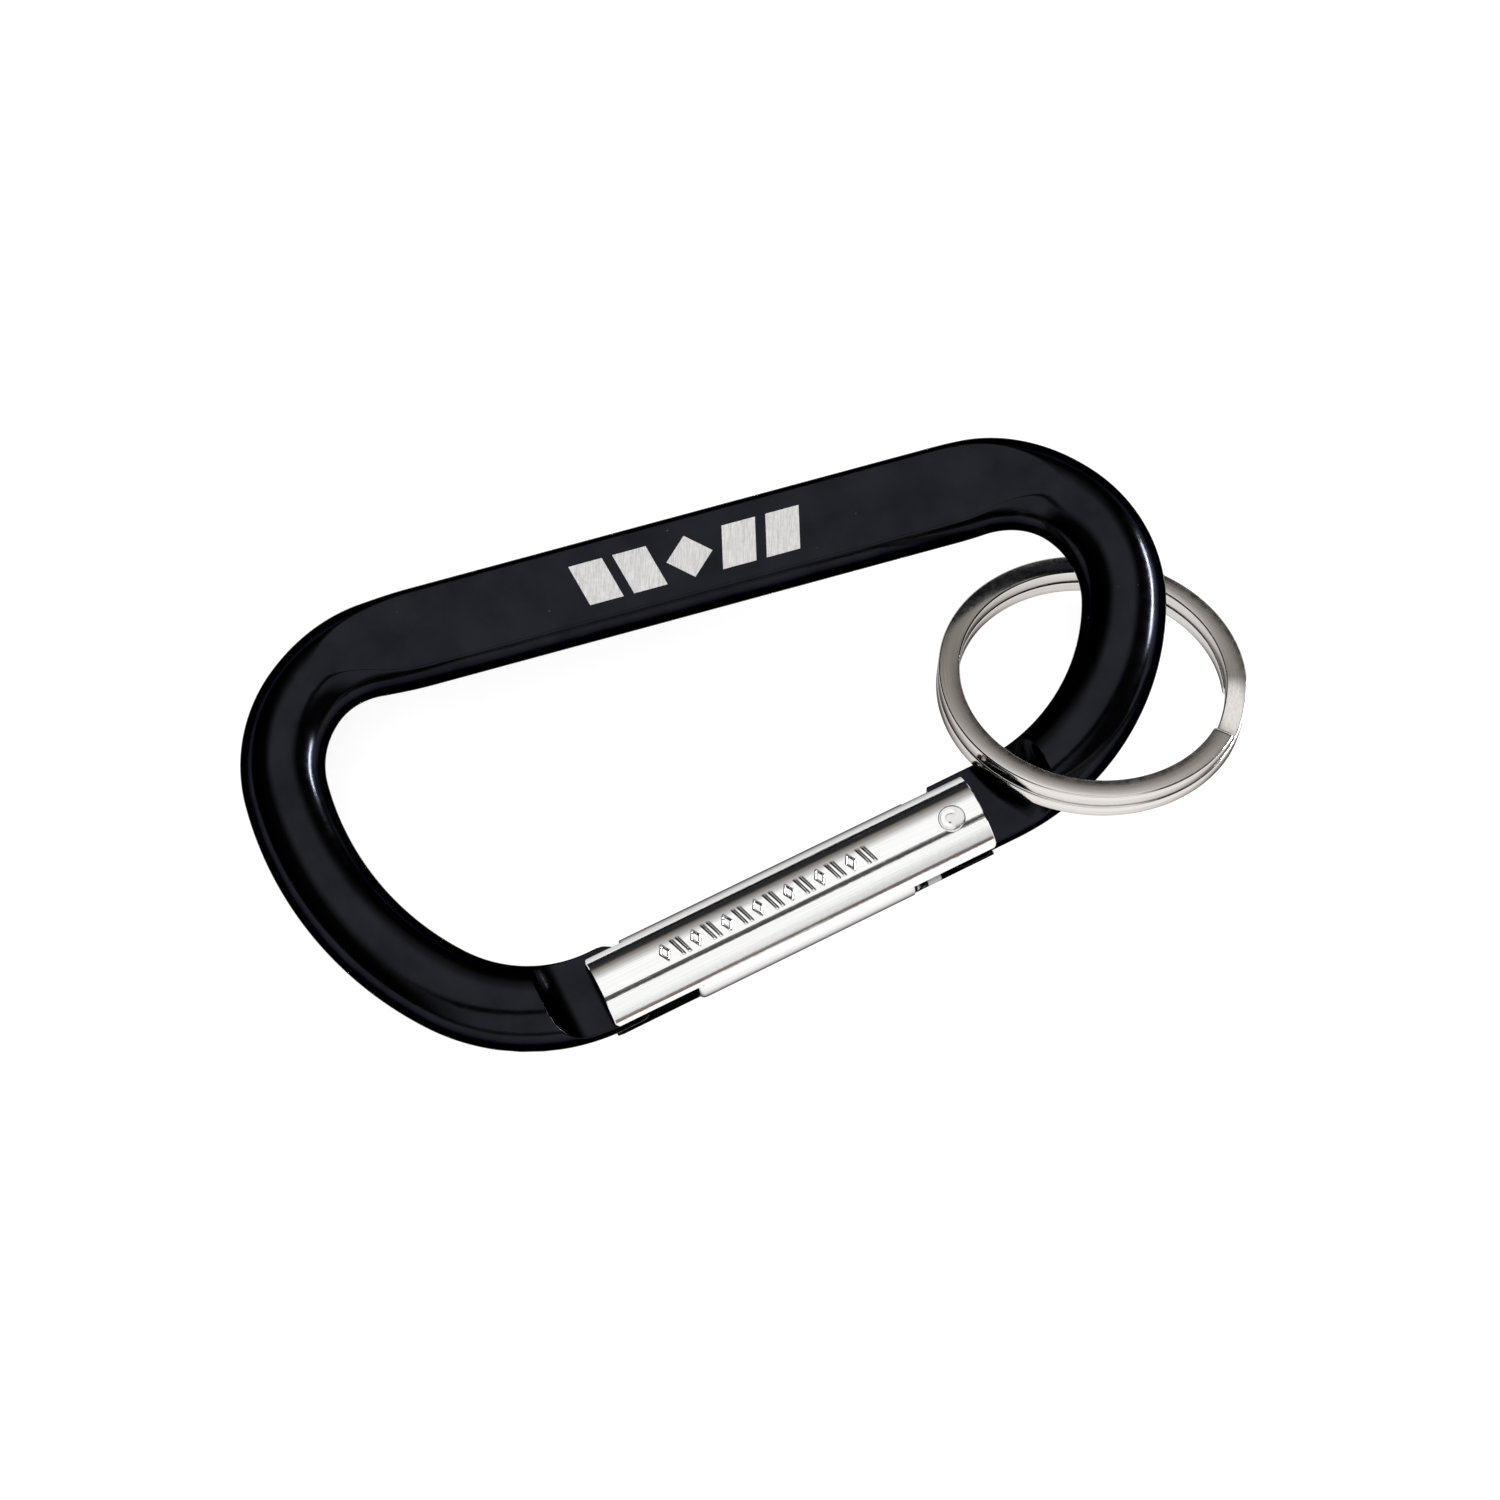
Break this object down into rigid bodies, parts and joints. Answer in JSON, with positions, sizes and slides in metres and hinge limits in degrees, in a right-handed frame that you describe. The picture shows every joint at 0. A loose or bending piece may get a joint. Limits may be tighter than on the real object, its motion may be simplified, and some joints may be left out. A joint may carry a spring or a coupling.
{
  "type": "carabiner keyring",
  "caption": "D-shaped bent-rod carabiner with a flat pressed spine, a sprung sleeve gate that opens inward, and a split ring threaded on its narrow end.",
  "frame": {"origin": "middle of the whole object's box at rest, to within half a millimetre, on the frame's middle plane", "axes": "+X along the spine from the wide end to the narrow, ring end; +Y from the gate to the spine; +Z out of the face that is seen"},
  "size_m": [0.0837, 0.0414, 0.0129],
  "materials": {
    "black_anodised": "gloss",
    "nickel_gate": "polished",
    "nickel_rivet": "satin",
    "spring_steel": "satin",
    "plunger_steel": "satin",
    "nickel_ring": "satin"
  },
  "bodies": {
    "frame": {"frame": "black_anodised"},
    "gate": {"gate": "nickel_gate", "hinge_rivet": "nickel_rivet"},
    "plunger": {"spring_plunger": "plunger_steel", "gate_spring": "spring_steel"},
    "ring": {"split_ring": "nickel_ring"}
  },
  "joints": [
    {"name": "gate_hinge", "type": "hinge", "parent": "frame", "child": "gate", "pos_m": [0.01388, -0.01141, 0], "axis": [0, 0, -1], "range_deg": [0, 30], "stiffness_Nm_per_rad": 0.1, "springref_deg": -34.38},
    {"name": "plunger_slide", "type": "slide", "parent": "gate", "child": "plunger", "axis": [-0.9823, -0.1874, 0], "range_m": [0, 0.0006], "deforming": ["gate_spring"]},
    {"name": "ring_swing", "type": "hinge", "parent": "frame", "child": "ring", "pos_m": [0.0288, -0.00255, -0.00045], "axis": [-0.9135, 0.4067, 0], "range_deg": [0, 125]}
  ],
  "couplings": [
    {"joint": "plunger_slide", "follows": "gate_hinge", "m_per_rad": 0.00113}
  ]
}
